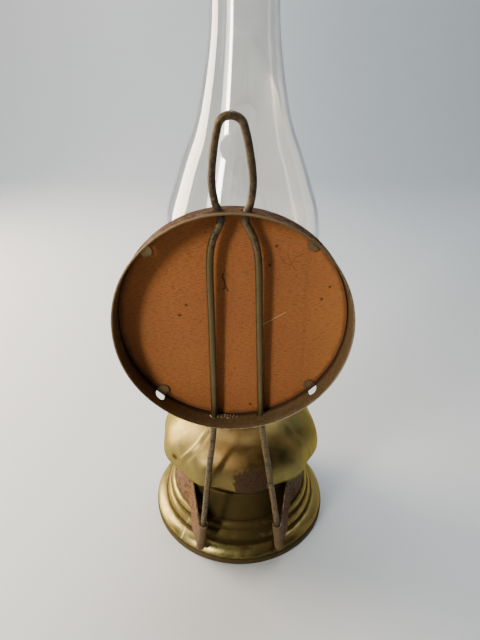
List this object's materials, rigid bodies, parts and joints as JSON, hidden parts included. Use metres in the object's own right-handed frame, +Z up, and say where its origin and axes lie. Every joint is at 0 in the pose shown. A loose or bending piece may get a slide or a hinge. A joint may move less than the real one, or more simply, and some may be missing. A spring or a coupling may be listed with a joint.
{
  "type": "kerosene lamp",
  "caption": "Table kerosene lamp with a glass chimney and a round mirror reflector that stands on a bent wire in a neck strap; the wire's loop also hangs the lamp on a wall.",
  "frame": {"origin": "centre of the base box on the table; the lamp's axis, within 2 mm", "axes": "+Z up along the lamp's axis; +Y the lamp's front, where the light goes; -Y the reflector and its wire"},
  "size_m": [0.1379, 0.1376, 0.3937],
  "materials": {
    "foot_brass": "glossy brass plating on tinplate, olive gold, brown in the creases",
    "font_brass": "glossy brass plating on tinplate, worn purple brown low at the back",
    "font_underside": "dull brass plating, dark with age",
    "burner_brass": "satin sheet brass, brown with heat towards the flame",
    "knob_brass": "satin brass, polished by fingers",
    "strap_steel": "sheet steel gone pinkish brown with fine rust",
    "wire_steel": "steel wire, olive brown, pitted",
    "gear_steel": "dull steel",
    "rim_tin": "tinplate, stained brown with rust patches",
    "mirror": "silvered glass, lightly aged",
    "cardboard": "matt orange brown pressed card with fine fibres",
    "wick_cotton": "woven flat cotton, charred at the top",
    "chimney_glass": "clear polished glass"
  },
  "bodies": {
    "lamp": {"foot": "foot_brass", "font_shell": "font_brass", "font_floor": "font_underside", "font_collar": "burner_brass", "bracket_strap": "strap_steel", "hanger_wire": "wire_steel", "reflector_rim": "rim_tin", "mirror_glass": "mirror", "cardboard_back": "cardboard"},
    "burner": {"burner_base": "burner_brass", "air_screen": "burner_brass", "wick_tube": "burner_brass", "gear_case": "burner_brass", "spindle_bushing": "burner_brass", "gallery": "burner_brass", "chimney_prong_1": "burner_brass", "chimney_prong_2": "burner_brass", "chimney_prong_3": "burner_brass", "chimney_prong_4": "burner_brass", "flame_deflector": "burner_brass"},
    "gear": {"wick_spindle": "gear_steel", "sprocket_left": "gear_steel", "sprocket_right": "gear_steel", "wick_knob": "knob_brass"},
    "wick": {"wick": "wick_cotton"},
    "chimney": {"chimney": "chimney_glass"}
  },
  "joints": [
    {"name": "burner_lift", "type": "slide", "parent": "lamp", "child": "burner", "axis": [0, 0, 1], "range_m": [0, 0.06]},
    {"name": "wick_knob_turn", "type": "hinge", "parent": "burner", "child": "gear", "pos_m": [0, 0.0056, 0.1161], "axis": [-1, 0, 0], "range_deg": [0, 136.4]},
    {"name": "wick_raise", "type": "slide", "parent": "burner", "child": "wick", "axis": [0, 0, 1], "range_m": [0, 0.01]},
    {"name": "chimney_lift", "type": "slide", "parent": "burner", "child": "chimney", "axis": [0, 0, 1], "range_m": [0, 0.036]}
  ],
  "couplings": [
    {"joint": "wick_raise", "follows": "wick_knob_turn", "m_per_rad": 0.0042}
  ]
}
